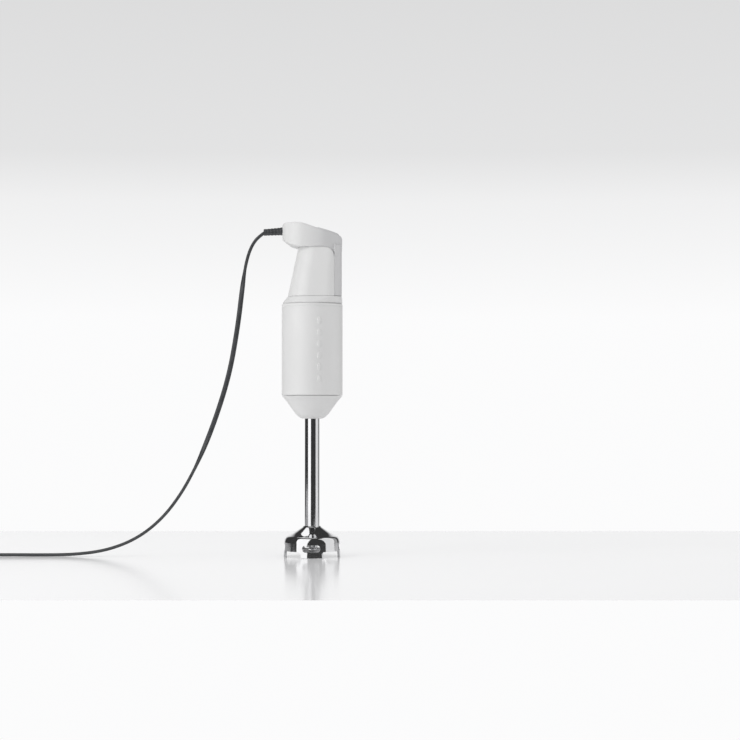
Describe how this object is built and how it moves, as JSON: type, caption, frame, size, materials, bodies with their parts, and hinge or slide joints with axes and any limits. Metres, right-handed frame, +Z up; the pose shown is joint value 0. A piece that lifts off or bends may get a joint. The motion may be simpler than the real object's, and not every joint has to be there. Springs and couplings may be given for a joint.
{
  "type": "immersion blender",
  "caption": "Hand-held stick blender with hooked head, speed dial, press buttons, twist-off steel leg, bell guard, blade, motor and corded plug.",
  "frame": {"origin": "on the table under the motor axis, between the guard's four feet", "axes": "+Z up along the motor axis, the cord leaves the head towards -X, the press buttons face +X"},
  "size_m": [0.5109, 0.0917, 0.3492],
  "materials": {
    "housing_white": "satin off-white housing plastic",
    "spine_grey": "satin pale grey soft plastic",
    "button_grey": "satin pale grey rubber-like plastic",
    "steel": "polished stainless steel",
    "shaft_steel": "ground steel",
    "lamination": "oiled laminated steel",
    "copper": "enamelled copper wire",
    "brass": "bright brass",
    "bronze": "sintered bronze",
    "carbon": "carbon block",
    "inner_plastic": "grey moulded plastic",
    "black_plastic": "black moulded plastic",
    "board_green": "resin circuit board",
    "rubber": "soft black rubber",
    "cord_grey": "flexible dark grey sheath",
    "wire_blue": "insulated wire"
  },
  "bodies": {
    "motor_unit": {"motor_housing": "housing_white", "collar_ring": "housing_white", "collar_screws": "shaft_steel", "neck_shell": "housing_white", "head_cover": "spine_grey", "stator_core": "lamination", "field_coils": "copper", "lower_bracket": "inner_plastic", "upper_bracket": "inner_plastic", "motor_tie_screws": "shaft_steel", "rubber_mounts": "rubber", "lower_bearing": "shaft_steel", "upper_bearing": "shaft_steel", "carbon_brushes": "carbon", "brush_holders": "brass", "brush_springs": "shaft_steel", "high_button_spring": "shaft_steel", "low_button_spring": "shaft_steel", "control_board": "board_green", "switch_bracket": "inner_plastic", "high_switch": "black_plastic", "low_switch": "black_plastic", "capacitor": "black_plastic", "speed_control": "black_plastic", "cord_clamp": "inner_plastic", "cord_seat": "inner_plastic", "cord_clamp_screws": "shaft_steel", "mains_leads": "wire_blue", "motor_leads": "wire_blue", "power_cord": "cord_grey", "cord_tail": "cord_grey", "cord_coil": "cord_grey", "strain_relief": "cord_grey", "plug_body": "cord_grey", "plug_pins": "brass"},
    "rotor": {"rotor_shaft": "shaft_steel", "armature_core": "lamination", "armature_windings": "copper", "commutator": "copper", "cooling_fan": "inner_plastic", "drive_dog": "black_plastic"},
    "interlock": {"interlock_ring": "inner_plastic"},
    "leg": {"nose_cone": "housing_white", "leg_tube": "steel", "blade_guard": "steel", "upper_bush": "bronze", "lower_bush": "bronze", "shaft_seal": "rubber"},
    "blade_spindle": {"drive_spindle": "shaft_steel", "spindle_clip": "shaft_steel", "driven_dog": "black_plastic", "blade": "steel", "blade_hub": "steel", "blade_nut": "shaft_steel"},
    "high_button": {"high_button": "button_grey"},
    "low_button": {"low_button": "button_grey"},
    "speed_dial": {"speed_dial": "spine_grey"}
  },
  "joints": [
    {"name": "rotor_spin", "type": "hinge", "parent": "motor_unit", "child": "rotor", "pos_m": [0, 0, 0.22], "axis": [0, 0, 1], "continuous": true},
    {"name": "leg_twist", "type": "hinge", "parent": "motor_unit", "child": "interlock", "pos_m": [0, 0, 0.175], "axis": [0, 0, 1], "range_deg": [0, 35]},
    {"name": "leg_pull", "type": "slide", "parent": "interlock", "child": "leg", "axis": [0, 0, -1], "range_m": [0, 0.04]},
    {"name": "blade_spin", "type": "hinge", "parent": "leg", "child": "blade_spindle", "pos_m": [0, 0, 0.02], "axis": [0, 0, 1], "continuous": true},
    {"name": "high_button_press", "type": "slide", "parent": "motor_unit", "child": "high_button", "axis": [-1, 0, 0], "range_m": [0, 0.0018], "stiffness_N_per_m": 900, "springref_m": -0.002, "deforming": ["high_button_spring"]},
    {"name": "low_button_press", "type": "slide", "parent": "motor_unit", "child": "low_button", "axis": [-1, 0, 0], "range_m": [0, 0.0018], "stiffness_N_per_m": 900, "springref_m": -0.002, "deforming": ["low_button_spring"]},
    {"name": "dial_turn", "type": "hinge", "parent": "motor_unit", "child": "speed_dial", "pos_m": [0.016, 0, 0.3405], "axis": [0.2924, 0, 0.9563], "range_deg": [-135, 135]}
  ],
  "couplings": [
    {"joint": "blade_spin", "follows": "rotor_spin", "ratio": 1}
  ]
}
